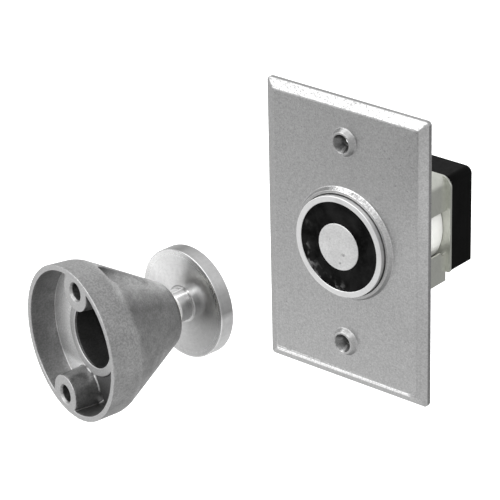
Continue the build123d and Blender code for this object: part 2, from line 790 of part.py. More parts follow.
# ---- disc spring and retaining plug behind it
with BuildPart() as disc_spring:
    with BuildSketch(housing_section):
        with BuildLine():
            Polyline((4.2, 24.25), (7.9, 23.45), (7.9, 24.2), (4.2, 25.0), close=True)
        make_face()
    revolve(axis=housing_axis)
finish(disc_spring.part, "disc_spring")

with BuildPart() as retaining_plug:
    with BuildSketch(housing_section):
        with BuildLine():
            Polyline((0, 19.6), (11.2, 19.6), (bore_r, 20.2), (bore_r, 22.9), (11.2, 23.4), (0, 23.4), close=True)
        make_face()
    revolve(axis=housing_axis)
    with BuildSketch(across(19.6)):
        Rectangle(19.0, 2.4)
    extrude(amount=-1.6, mode=Mode.SUBTRACT)
finish(retaining_plug.part, "retaining_plug")

# ---- nose bush: pale moulded ring pressed into the nose round the neck
with BuildPart() as nose_bush:
    with BuildSketch(housing_section):
        with BuildLine():
            Polyline(
                (bush_in_r - 0.3, bush_y0),
                (bush_out_r, bush_y0),
                (bush_out_r, bush_y1 - 0.2),
                (bush_out_r - 0.2, bush_y1),
                (bush_in_r + 0.2, bush_y1),
                (bush_in_r, bush_y1 - 0.2),
                close=True,
            )
        make_face()
    revolve(axis=housing_axis)
finish(nose_bush.part, "nose_bush")
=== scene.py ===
import math

import bpy
import numpy as np
from mathutils import Matrix, Vector, geometry


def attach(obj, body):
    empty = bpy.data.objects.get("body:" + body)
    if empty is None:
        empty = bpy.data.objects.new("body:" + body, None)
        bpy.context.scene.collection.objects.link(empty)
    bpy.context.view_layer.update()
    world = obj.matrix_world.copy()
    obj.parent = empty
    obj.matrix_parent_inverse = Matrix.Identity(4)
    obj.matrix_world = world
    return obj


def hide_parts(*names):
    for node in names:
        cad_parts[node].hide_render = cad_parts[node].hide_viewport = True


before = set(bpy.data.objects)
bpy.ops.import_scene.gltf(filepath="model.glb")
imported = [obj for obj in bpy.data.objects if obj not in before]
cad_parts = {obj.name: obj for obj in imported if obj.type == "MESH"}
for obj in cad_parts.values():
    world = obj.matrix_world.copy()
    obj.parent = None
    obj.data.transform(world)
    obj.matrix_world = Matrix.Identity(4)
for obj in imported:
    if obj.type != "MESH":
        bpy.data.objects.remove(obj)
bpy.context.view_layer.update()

MM = 0.001

# ------------------------------------------------------------------ frames of the two halves
YAW_H, YAW_P = math.radians(15.4), math.radians(6.3)
BALL = Vector((-17.33, -96.39, 0.0))
HX, HY = math.sin(YAW_H), math.cos(YAW_H)
PX, PY = math.sin(YAW_P), math.cos(YAW_P)
RIM = BALL - 33.0 * Vector((HX, HY, 0))


def local_frame(origin, sx, cy):
    """Local x across, y up, z away from the wall along an axis that leans from +Y towards +X."""
    m = Matrix(((cy, 0, -sx, 0), (-sx, 0, -cy, 0), (0, 1, 0, 0), (0, 0, 0, 1)))
    m.translation = Vector(origin) * MM
    return m


WALL = local_frame((0, 0, 0), 0.0, 1.0)
HOUSING = local_frame(RIM, HX, HY)
CATCH = local_frame(BALL, PX, PY)


# ------------------------------------------------------------------ mesh helpers
def build(name, verts, faces, matrix, material, body, replaces=(), normals=None, sharp=40.0, weighted=False):
    """One finished piece from points in millimetres in a local frame."""
    mesh = bpy.data.meshes.new(name)
    mesh.from_pydata([tuple(float(c) * MM for c in v) for v in verts], [], [tuple(int(i) for i in f) for f in faces])
    mesh.validate()
    mesh.update()
    mesh.polygons.foreach_set("use_smooth", [True] * len(mesh.polygons))
    if normals is None:
        mesh.set_sharp_from_angle(angle=math.radians(sharp))
    else:
        mesh.normals_split_custom_set_from_vertices([tuple(float(c) for c in n) for n in normals])
    obj = bpy.data.objects.new(name, mesh)
    bpy.context.scene.collection.objects.link(obj)
    obj.matrix_world = matrix
    mesh.materials.append(material)
    if weighted:
        w = obj.modifiers.new("even_normals", "WEIGHTED_NORMAL")
        w.keep_sharp = True
        w.weight = 80
    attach(obj, body)
    if replaces:
        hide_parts(*replaces)
    return obj


def rounded(points, radii, steps=5):
    """A closed or open 2-D line with its corners rounded to the given radii."""
    out = []
    n = len(points)
    for i in range(n):
        p = Vector(points[i])
        r = radii[i]
        if r <= 0 or i in (0, n - 1):
            out.append((p.x, p.y))
            continue
        a, b = Vector(points[i - 1]) - p, Vector(points[i + 1]) - p
        la, lb = a.length, b.length
        a, b = a / la, b / lb
        ang = math.acos(max(-1.0, min(1.0, a.dot(b))))
        if ang > math.pi - 1e-3:
            out.append((p.x, p.y))
            continue
        t = min(r / math.tan(ang / 2), 0.48 * la, 0.48 * lb)
        r = t * math.tan(ang / 2)
        c = p + (a + b).normalized() * (r / math.sin(ang / 2))
        s, e = p + a * t - c, p + b * t - c
        turn = math.atan2(s.x * e.y - s.y * e.x, s.dot(e))
        for k in range(steps + 1):
            f = turn * k / steps
            out.append((c.x + s.x * math.cos(f) - s.y * math.sin(f), c.y + s.x * math.sin(f) + s.y * math.cos(f)))
    return out


def densify(line, longest):
    """Adds points on long runs so that a lathe's quads stay even."""
    out = [line[0]]
    for (ax, ay), (bx, by) in zip(line, line[1:]):
        n = max(1, int(math.ceil(math.hypot(bx - ax, by - ay) / longest)))
        for k in range(1, n + 1):
            out.append((ax + (bx - ax) * k / n, ay + (by - ay) * k / n))
    return out


def lathe(line, segments, closed=False):
    """Points and faces of a turned form: line holds (radius, height) pairs."""
    verts, faces, rows = [], [], []
    for r, z in line:
        if r < 1e-6:
            rows.append([len(verts)])
            verts.append((0.0, 0.0, z))
        else:
            rows.append(list(range(len(verts), len(verts) + segments)))
            for k in range(segments):
                a = 2 * math.pi * k / segments
                verts.append((r * math.cos(a), r * math.sin(a), z))
    pairs = list(zip(rows, rows[1:]))
    if closed:
        pairs.append((rows[-1], rows[0]))
    for a, b in pairs:
        for k in range(segments):
            j = (k + 1) % segments
            if len(a) == 1 and len(b) == 1:
                continue
            if len(a) == 1:
                faces.append((a[0], b[k], b[j]))
            elif len(b) == 1:
                faces.append((a[k], b[0], a[j]))
            else:
                faces.append((a[k], b[k], b[j], a[j]))
    return verts, faces


def rounded_rectangle(hw, hh, r, corner=8, side=(30, 46)):
    """Points round a rectangle with rounded corners, the same count for every size."""
    pts = []
    for (cx, cy, a0, run) in (
        (hw - r, hh - r, 0.0, side[0]),
        (-hw + r, hh - r, 90.0, side[1]),
        (-hw + r, -hh + r, 180.0, side[0]),
        (hw - r, -hh + r, 270.0, side[1]),
    ):
        for k in range(corner + 1):
            a = math.radians(a0 + 90.0 * k / corner)
            pts.append((cx + r * math.cos(a), cy + r * math.sin(a)))
        a = math.radians(a0 + 90.0)
        nx, ny = {0.0: (-hw + r, hh), 90.0: (-hw, -hh + r), 180.0: (hw - r, -hh), 270.0: (hw, hh - r)}[a0]
        sx, sy = pts[-1]
        for k in range(1, run):
            pts.append((sx + (nx - sx) * k / run, sy + (ny - sy) * k / run))
    return pts


def flat_fill(loops, z, inside):
    """Triangles of a flat field between closed loops, kept where inside(x, y) is true."""
    pts, edges = [], []
    for loop in loops:
        s = len(pts)
        pts += [Vector(p) for p in loop]
        edges += [(s + i, s + (i + 1) % len(loop)) for i in range(len(loop))]
    v, _, f, *_ = geometry.delaunay_2d_cdt(pts, edges, [], 0, 1e-6)
    tris = []
    for t in f:
        cx = sum(v[i][0] for i in t) / 3
        cy = sum(v[i][1] for i in t) / 3
        if inside(cx, cy):
            tris.append(tuple(t))
    return [(p[0], p[1], z) for p in v], tris


class Shell:
    """Gathers points and faces of several surfaces of one piece and welds them."""

    def __init__(self):
        self.v, self.f = [], []

    def add(self, verts, faces, flip=False):
        s = len(self.v)
        self.v += list(verts)
        self.f += [tuple(s + i for i in (reversed(f) if flip else f)) for f in faces]

    def band(self, loops, flip=False):
        n = len(loops[0])
        verts = [p for loop in loops for p in loop]
        faces = []
        for k in range(len(loops) - 1):
            for i in range(n):
                j = (i + 1) % n
                faces.append((k * n + i, k * n + j, (k + 1) * n + j, (k + 1) * n + i))
        self.add(verts, faces, flip)

    def welded(self):
        keys, index, verts = {}, [], []
        for p in self.v:
            k = (round(p[0], 4), round(p[1], 4), round(p[2], 4))
            if k not in keys:
                keys[k] = len(verts)
                verts.append(p)
            index.append(keys[k])
        faces = []
        for f in self.f:
            g = [index[i] for i in f]
            g = [a for i, a in enumerate(g) if a != g[i - 1]]
            if len(set(g)) >= 3:
                faces.append(tuple(g))
        return verts, faces


# ------------------------------------------------------------------ distance fields
def meet(a, b, r):
    """Intersection with its edge rounded to r."""
    if r <= 0:
        return np.maximum(a, b)
    return np.minimum(-r, np.maximum(a, b)) + np.hypot(np.maximum(r + a, 0), np.maximum(r + b, 0))


def join(a, b, r):
    """Union with a fillet of radius r."""
    if r <= 0:
        return np.minimum(a, b)
    return np.maximum(r, np.minimum(a, b)) - np.hypot(np.maximum(r - a, 0), np.maximum(r - b, 0))


def surface(field, low, high, h):
    """Closed quad mesh of the zero level of a field, pulled on to the exact surface, with its normals."""
    n = [int(math.ceil((high[i] - low[i]) / h)) + 1 for i in range(3)]
    ax = [low[i] + h * np.arange(n[i]) for i in range(3)]
    f = np.empty(n, np.float32)
    for k in range(n[2]):
        x, y = np.meshgrid(ax[0], ax[1], indexing="ij")
        f[:, :, k] = field(x, y, np.full_like(x, ax[2][k]))
    neg = f < 0
    count = np.zeros([m - 1 for m in n], np.int8)
    for i in (0, 1):
        for j in (0, 1):
            for k in (0, 1):
                count += neg[i : n[0] - 1 + i, j : n[1] - 1 + j, k : n[2] - 1 + k]
    active = (count > 0) & (count < 8)
    index = np.full(active.shape, -1, np.int64)
    cells = np.argwhere(active)
    index[active] = np.arange(len(cells))
    total = np.zeros((len(cells), 3))
    hits = np.zeros(len(cells))
    corners = [(i, j, k) for i in (0, 1) for j in (0, 1) for k in (0, 1)]
    for a in corners:
        for b in corners:
            if sum(b) - sum(a) == 1 and all(q >= p for p, q in zip(a, b)):
                fa = f[cells[:, 0] + a[0], cells[:, 1] + a[1], cells[:, 2] + a[2]].astype(float)
                fb = f[cells[:, 0] + b[0], cells[:, 1] + b[1], cells[:, 2] + b[2]].astype(float)
                cross = (fa < 0) != (fb < 0)
                t = np.where(cross, fa / np.where(cross, fa - fb, 1), 0)
                p = np.array(a) + t[:, None] * (np.array(b) - np.array(a))
                total[cross] += p[cross]
                hits[cross] += 1
    pts = np.array(low) + h * (cells + total / hits[:, None])
    quads = []
    for axis in range(3):
        o = [i for i in range(3) if i != axis]
        s0 = [slice(None)] * 3
        s1 = [slice(None)] * 3
        s0[axis], s1[axis] = slice(0, n[axis] - 1), slice(1, n[axis])
        change = neg[tuple(s0)] != neg[tuple(s1)]
        where = np.argwhere(change)
        ok = (where[:, o[0]] > 0) & (where[:, o[1]] > 0)
        ok &= (where[:, o[0]] < n[o[0]] - 1) & (where[:, o[1]] < n[o[1]] - 1)
        where = where[ok]
        first = neg[where[:, 0], where[:, 1], where[:, 2]]
        ids = []
        for da, db in ((0, 0), (1, 0), (1, 1), (0, 1)):
            c = where.copy()
            c[:, o[0]] -= da
            c[:, o[1]] -= db
            ids.append(index[c[:, 0], c[:, 1], c[:, 2]])
        q = np.stack(ids, 1)
        flip = first if axis != 1 else ~first
        q[~flip] = q[~flip][:, ::-1]
        quads.append(q)
    quads = np.concatenate(quads)

    def gradient(p, e=0.05):
        g = np.empty_like(p)
        for i in range(3):
            d = np.zeros(3)
            d[i] = e
            g[:, i] = field(*(p + d).T) - field(*(p - d).T)
        return g / (2 * e)

    for _ in range(3):
        g = gradient(pts)
        step = (field(*pts.T) / np.maximum((g * g).sum(1), 0.2))[:, None] * g
        size = np.linalg.norm(step, axis=1, keepdims=True)
        pts = pts - step * np.minimum(1, 0.4 * h / np.maximum(size, 1e-9))
    g = gradient(pts, 0.12)
    g /= np.maximum(np.linalg.norm(g, axis=1, keepdims=True), 1e-9)
    return pts, quads, g


# ------------------------------------------------------------------ material helpers
class Nodes:
    def __init__(self, name):
        self.mat = bpy.data.materials.new(name)
        self.mat.use_nodes = True
        self.t = self.mat.node_tree
        self.t.nodes.clear()
        self.out = self.t.nodes.new("ShaderNodeOutputMaterial")
        self.bsdf = self.t.nodes.new("ShaderNodeBsdfPrincipled")
        self.t.links.new(self.bsdf.outputs["BSDF"], self.out.inputs["Surface"])
        self.co = self.t.nodes.new("ShaderNodeTexCoord").outputs["Object"]

    def link(self, a, b):
        self.t.links.new(a, b)

    def set(self, **values):
        for k, v in values.items():
            self.bsdf.inputs[k.replace("_", " ")].default_value = v

    def stretch(self, scale, co=None, offset=(0, 0, 0)):
        n = self.t.nodes.new("ShaderNodeMapping")
        n.inputs["Scale"].default_value = scale
        n.inputs["Location"].default_value = offset
        self.link(co or self.co, n.inputs["Vector"])
        return n.outputs["Vector"]

    def noise(self, scale, detail=3.0, rough=0.55, co=None, distortion=0.0):
        n = self.t.nodes.new("ShaderNodeTexNoise")
        n.inputs["Scale"].default_value = scale
        n.inputs["Detail"].default_value = detail
        n.inputs["Roughness"].default_value = rough
        n.inputs["Distortion"].default_value = distortion
        self.link(co or self.co, n.inputs["Vector"])
        return n.outputs["Fac"]

    def span(self, value, a, b, c, d, smooth=False, clamp=True):
        n = self.t.nodes.new("ShaderNodeMapRange")
        n.interpolation_type = "SMOOTHSTEP" if smooth else "LINEAR"
        n.clamp = clamp
        for k, v in zip(("From Min", "From Max", "To Min", "To Max"), (a, b, c, d)):
            n.inputs[k].default_value = v
        self.link(value, n.inputs["Value"])
        return n.outputs["Result"]

    def math(self, op, a, b=None, c=None):
        n = self.t.nodes.new("ShaderNodeMath")
        n.operation = op
        for i, v in enumerate((a, b, c)):
            if v is None:
                continue
            if isinstance(v, (int, float)):
                n.inputs[i].default_value = v
            else:
                self.link(v, n.inputs[i])
        return n.outputs["Value"]

    def mix(self, fac, a, b):
        n = self.t.nodes.new("ShaderNodeMix")
        n.data_type = "RGBA"
        for socket, v in ((n.inputs[0], fac), (n.inputs[6], a), (n.inputs[7], b)):
            if isinstance(v, (tuple, list)):
                socket.default_value = (*v, 1.0) if len(v) == 3 else v
            elif isinstance(v, (int, float)):
                socket.default_value = v
            else:
                self.link(v, socket)
        return n.outputs[2]

    def ramp(self, fac, stops):
        n = self.t.nodes.new("ShaderNodeValToRGB")
        el = n.color_ramp.elements
        el[0].position, el[0].color = stops[0][0], (*stops[0][1], 1.0)
        el[1].position, el[1].color = stops[-1][0], (*stops[-1][1], 1.0)
        for p, c in stops[1:-1]:
            e = el.new(p)
            e.color = (*c, 1.0)
        self.link(fac, n.inputs["Fac"])
        return n.outputs["Color"]

    def axes(self, co=None):
        n = self.t.nodes.new("ShaderNodeSeparateXYZ")
        self.link(co or self.co, n.inputs[0])
        return n.outputs

    def radius(self, co=None):
        s = self.axes(co)
        return self.math("SQRT", self.math("ADD", self.math("MULTIPLY", s[0], s[0]), self.math("MULTIPLY", s[1], s[1])))

    def hole_mask(self, x, y, near, far):
        """1 round the two screw holes of the wall plate, 0 past the far radius."""
        d = self.math("SUBTRACT", self.math("ABSOLUTE", y), 0.04167)
        r = self.math("SQRT", self.math("ADD", self.math("MULTIPLY", x, x), self.math("MULTIPLY", d, d)))
        return self.span(r, near, far, 1, 0)

    def scaled(self, colour, factor):
        """A colour made lighter or darker by a varying factor."""
        n = self.t.nodes.new("ShaderNodeVectorMath")
        n.operation = "SCALE"
        self.link(colour, n.inputs[0])
        self.link(factor, n.inputs["Scale"])
        return n.outputs[0]

    def round_tone(self, x, y, stops):
        """A factor that varies with the angle round the local axis: stops hold (degrees, factor), -180 to 180."""
        turn = self.math("ARCTAN2", y, x)
        pos = self.span(turn, -math.pi, math.pi, 0, 1)
        return self.ramp(pos, [((a + 180.0) / 360.0, grey(f / 2)) for a, f in stops])

    def apart(self, value, centre, half, soft):
        """1 close to a value of a coordinate, 0 further than half + soft from it."""
        d = self.math("ABSOLUTE", self.math("SUBTRACT", value, centre))
        return self.span(d, half, half + soft, 1, 0)

    def colour(self, value):
        self.link(value, self.bsdf.inputs["Base Color"])

    def rough(self, value):
        self.link(value, self.bsdf.inputs["Roughness"])

    def bump(self, *layers):
        """layers: (height, depth in millimetres)"""
        last = None
        for height, depth in layers:
            n = self.t.nodes.new("ShaderNodeBump")
            n.inputs["Strength"].default_value = 1.0
            n.inputs["Distance"].default_value = depth * MM
            self.link(height, n.inputs["Height"])
            if last is not None:
                self.link(last, n.inputs["Normal"])
            last = n.outputs["Normal"]
        self.link(last, self.bsdf.inputs["Normal"])


def grey(v):
    return (v, v, v)


def satin_plate():
    m = Nodes("satin_steel")
    s = m.axes()
    x, y, z = s
    cloud = m.noise(55, 4, 0.6)
    mottle = m.noise(620, 3, 0.6)
    grain = m.noise(1500, 2, 0.6)
    fine = m.noise(1100, 2, 0.6)
    # painted shade: the face is painted darker towards the top and lighter towards the bottom
    height = m.span(y, -0.058, 0.058, 0, 1)
    base = m.mix(height, grey(0.435), grey(0.325))
    base = m.mix(m.span(cloud, 0.3, 0.7, 0.0, 0.25), base, m.mix(height, grey(0.40), grey(0.355)))
    # painted light: the side nearer the door half is painted lighter, as a soft pool of light; grain and mottle vary
    # the tone on top
    dx, dy = m.math("SUBTRACT", x, 0.036), m.math("SUBTRACT", y, 0.030)
    far = m.math("ADD", m.math("MULTIPLY", m.math("MULTIPLY", dx, dx), 1.6), m.math("MULTIPLY", m.math("MULTIPLY", dy, dy), 0.5))
    gain = m.span(m.math("SQRT", far), 0.0, 0.042, 1.30, 1.0)
    gain = m.math("MULTIPLY", gain, m.span(grain, 0.30, 0.70, 1.17, 0.83))
    gain = m.math("MULTIPLY", gain, m.span(mottle, 0.30, 0.70, 1.05, 0.95))
    # painted highlight: the top bevel is painted bright, broken by small dull specks
    mitre = m.math("SUBTRACT", m.math("SUBTRACT", y, 0.05495), m.math("SUBTRACT", m.math("ABSOLUTE", x), 0.0343))
    top_light = m.math("MULTIPLY", m.span(mitre, 0.0, 0.0003, 0, 1), m.span(y, 0.0549, 0.0553, 0, 1))
    top_light = m.math("MULTIPLY", top_light, m.span(z, 0.00192, 0.00200, 0, 1))
    speck = m.span(m.noise(1300, 2, 0.6), 0.50, 0.62, 1.0, 0.52)
    top_bevel_highlight = m.math("ADD", 1.0, m.math("MULTIPLY", top_light, m.math("SUBTRACT", m.math("MULTIPLY", speck, 1.62), 1.0)))
    # painted shade and light: the left side bevel is painted darker, the right one lighter
    flank = m.math("SUBTRACT", m.math("SUBTRACT", m.math("ABSOLUTE", x), 0.0343), m.math("SUBTRACT", m.math("ABSOLUTE", y), 0.05495))
    flank = m.math("MULTIPLY", m.span(flank, 0.0, 0.0003, 0, 1), m.span(m.math("ABSOLUTE", x), 0.0342, 0.0345, 0, 1))
    flank = m.math("MULTIPLY", flank, m.span(z, 0.00192, 0.00200, 0, 1))
    side_bevel_shade = m.math("SUBTRACT", 1.0, m.math("MULTIPLY", flank, m.span(x, -0.01, 0.01, 0.10, -0.06)))
    base = m.scaled(base, m.math("MULTIPLY", m.math("MULTIPLY", gain, top_bevel_highlight), side_bevel_shade))
    # painted highlight: bright specks on the upper right slope of the collar, where it catches the light
    slope = m.math("MULTIPLY", m.apart(m.radius(), 0.0225, 0.00045, 0.00025), m.span(z, 0.0028, 0.0030, 0, 1))
    collar_highlight = m.round_tone(x, y, [(-180, 0), (5, 0), (25, 0.4), (45, 0.8), (60, 1.2), (74, 2.0), (100, 2.0), (107, 0.8), (113, 0), (180, 0)])
    collar_highlight = m.math("MULTIPLY", m.math("MULTIPLY", slope, collar_highlight), m.span(m.noise(1300, 2, 0.6), 0.42, 0.58, 0.15, 1.0))
    base = m.mix(collar_highlight, base, grey(0.85))
    # countersinks catch the light in rays
    hy = m.math("SUBTRACT", y, m.math("MULTIPLY", m.math("SIGN", y), 0.04167))
    hr = m.math("SQRT", m.math("ADD", m.math("MULTIPLY", x, x), m.math("MULTIPLY", hy, hy)))
    sink = m.span(hr, 0.0036, 0.0038, 1, 0)
    rays = m.round_tone(x, hy, [(-180, 0.55), (-140, 0.6), (-112, 0.75), (-98, 1.9), (-84, 2.0), (-72, 0.8), (-58, 1.5), (-40, 0.9), (0, 0.8), (60, 0.6), (120, 0.5), (180, 0.55)])
    base = m.scaled(base, m.math("MULTIPLY", m.mix(sink, grey(0.5), rays), 2.0))
    # a worn lower crease, with a bright line painted along it as its highlight
    along = m.math("MULTIPLY", m.span(x, -0.0345, -0.0339, 0, 1), m.span(x, 0.0298, 0.0316, 1, 0))
    worn = m.math("MULTIPLY", m.apart(y, -0.05525, 0.00062, 0.00028), m.span(m.noise(1500, 2, 0.6), 0.38, 0.50, 0.30, 1.0))
    faint = m.math("MULTIPLY", m.apart(y, -0.05400, 0.00014, 0.00025), m.span(x, -0.034, 0.020, 0.75, 0.0))
    faint = m.math("MULTIPLY", faint, m.span(m.noise(900, 2, 0.6), 0.42, 0.56, 0.0, 1.0))
    line = m.math("MULTIPLY", m.math("MAXIMUM", worn, faint), m.math("MULTIPLY", along, m.span(z, 0.0028, 0.0030, 0, 1)))
    base = m.mix(line, base, grey(0.97))
    # painted shade: the walls of the screw holes are painted near black
    hole_shade = m.math("MULTIPLY", m.hole_mask(x, y, 0.0023, 0.0027), m.span(z, 0.0012, 0.0026, 1, 0))
    base = m.mix(m.math("MULTIPLY", hole_shade, 0.9), base, grey(0.03))
    m.colour(base)
    m.set(Metallic=1.0)
    m.rough(m.span(fine, 0.3, 0.7, 0.27, 0.37))
    m.bump((fine, 0.014), (grain, 0.012))
    return m.mat


def ground_pole():
    m = Nodes("pole_steel")
    wob = m.noise(300, 4, 0.65)
    patch = m.noise(170, 5, 0.7)
    base = m.mix(m.span(patch, 0.42, 0.78, 0, 1), grey(0.72), grey(0.58))
    m.colour(base)
    m.set(Metallic=1.0)
    m.rough(m.span(patch, 0.35, 0.75, 0.28, 0.42))
    m.bump((wob, 0.006), (m.noise(1500, 2, 0.6), 0.003))
    return m.mat


def core_metal():
    m = Nodes("core_steel")
    s = m.axes()
    cloud = m.noise(150, 4, 0.6)
    fine = m.noise(1800, 2, 0.6)
    base = m.mix(m.span(cloud, 0.3, 0.7, 0, 1), grey(0.55), grey(0.65))
    base = m.scaled(base, m.span(m.noise(1200, 2, 0.6), 0.3, 0.7, 1.12, 0.88))
    wobble = m.math("MULTIPLY", m.math("SUBTRACT", m.noise(1400, 2, 0.6), 0.5), 0.0016)
    for cx, cy, size, depth in ((0.00244, -0.00262, 0.00050, 0.55), (0.00087, -0.00643, 0.00038, 0.65), (-0.0041, 0.0022, 0.00022, 0.3)):
        a, b = m.math("SUBTRACT", s[0], cx), m.math("SUBTRACT", s[1], cy)
        d = m.math("SQRT", m.math("ADD", m.math("MULTIPLY", a, a), m.math("MULTIPLY", m.math("MULTIPLY", b, b), 2.0)))
        mark = m.span(m.math("ADD", d, wobble), size, size * 2.1, depth, 0)
        base = m.mix(mark, base, grey(0.14))
    m.colour(base)
    m.set(Metallic=1.0)
    m.rough(m.span(fine, 0.3, 0.7, 0.40, 0.50))
    m.bump((fine, 0.006),)
    return m.mat


def resin():
    m = Nodes("black_resin")
    s = m.axes()
    cloud = m.noise(120, 3, 0.55)
    fine = m.noise(900, 2, 0.6)
    tone = m.mix(m.span(cloud, 0.35, 0.75, 0, 1, smooth=True), grey(0.0012), grey(0.008))
    tone = m.mix(m.span(fine, 0.5, 0.75, 0, 0.4), tone, grey(0.012))
    # painted reflection: paler patches towards the lower left edge of the pot, where glossy smudges catch reflections
    side = m.math("MULTIPLY", m.span(m.radius(), 0.0135, 0.0172, 0, 1), m.span(m.math("ADD", s[0], s[1]), -0.006, -0.020, 0, 1))
    smudge_sheen = m.math("MULTIPLY", side, m.span(m.noise(210, 4, 0.6), 0.50, 0.62, 0, 1, smooth=True))
    tone = m.mix(m.math("MULTIPLY", smudge_sheen, 0.8), tone, grey(0.115))
    m.colour(tone)
    m.set(IOR=1.42, Specular_IOR_Level=0.03)
    m.rough(m.span(m.noise(260, 4, 0.6), 0.35, 0.7, 0.25, 0.5))
    m.bump((m.noise(420, 3, 0.5), 0.03), (m.noise(1900, 2, 0.5), 0.006))
    return m.mat


def zinc():
    m = Nodes("zinc_sheet")
    cloud = m.noise(70, 4, 0.6)
    fine = m.noise(700, 3, 0.6)
    base = m.mix(m.span(cloud, 0.3, 0.7, 0, 1), (0.60, 0.61, 0.565), (0.69, 0.70, 0.65))
    base = m.mix(m.span(fine, 0.35, 0.75, 0.0, 0.35), base, (0.47, 0.48, 0.44))
    s = m.axes()
    # painted shade: dark round the screw holes of the ears, where little light reaches
    base = m.mix(m.math("MULTIPLY", m.hole_mask(s[0], s[2], 0.0023, 0.0026), 0.95), base, grey(0.02))
    m.colour(base)
    m.set(Metallic=1.0)
    m.rough(m.span(fine, 0.3, 0.7, 0.30, 0.42))
    m.bump((m.noise(90, 2, 0.5), 0.010), (m.noise(1800, 2, 0.6), 0.003))
    return m.mat


def hardware():
    m = Nodes("zinc_hardware")
    m.colour(m.mix(m.span(m.noise(400, 3, 0.6), 0.3, 0.7, 0, 1), grey(0.50), grey(0.62)))
    m.set(Metallic=1.0)
    m.rough(m.span(m.noise(900, 3, 0.6), 0.3, 0.7, 0.22, 0.36))
    m.bump((m.noise(1600, 2, 0.6), 0.004),)
    return m.mat


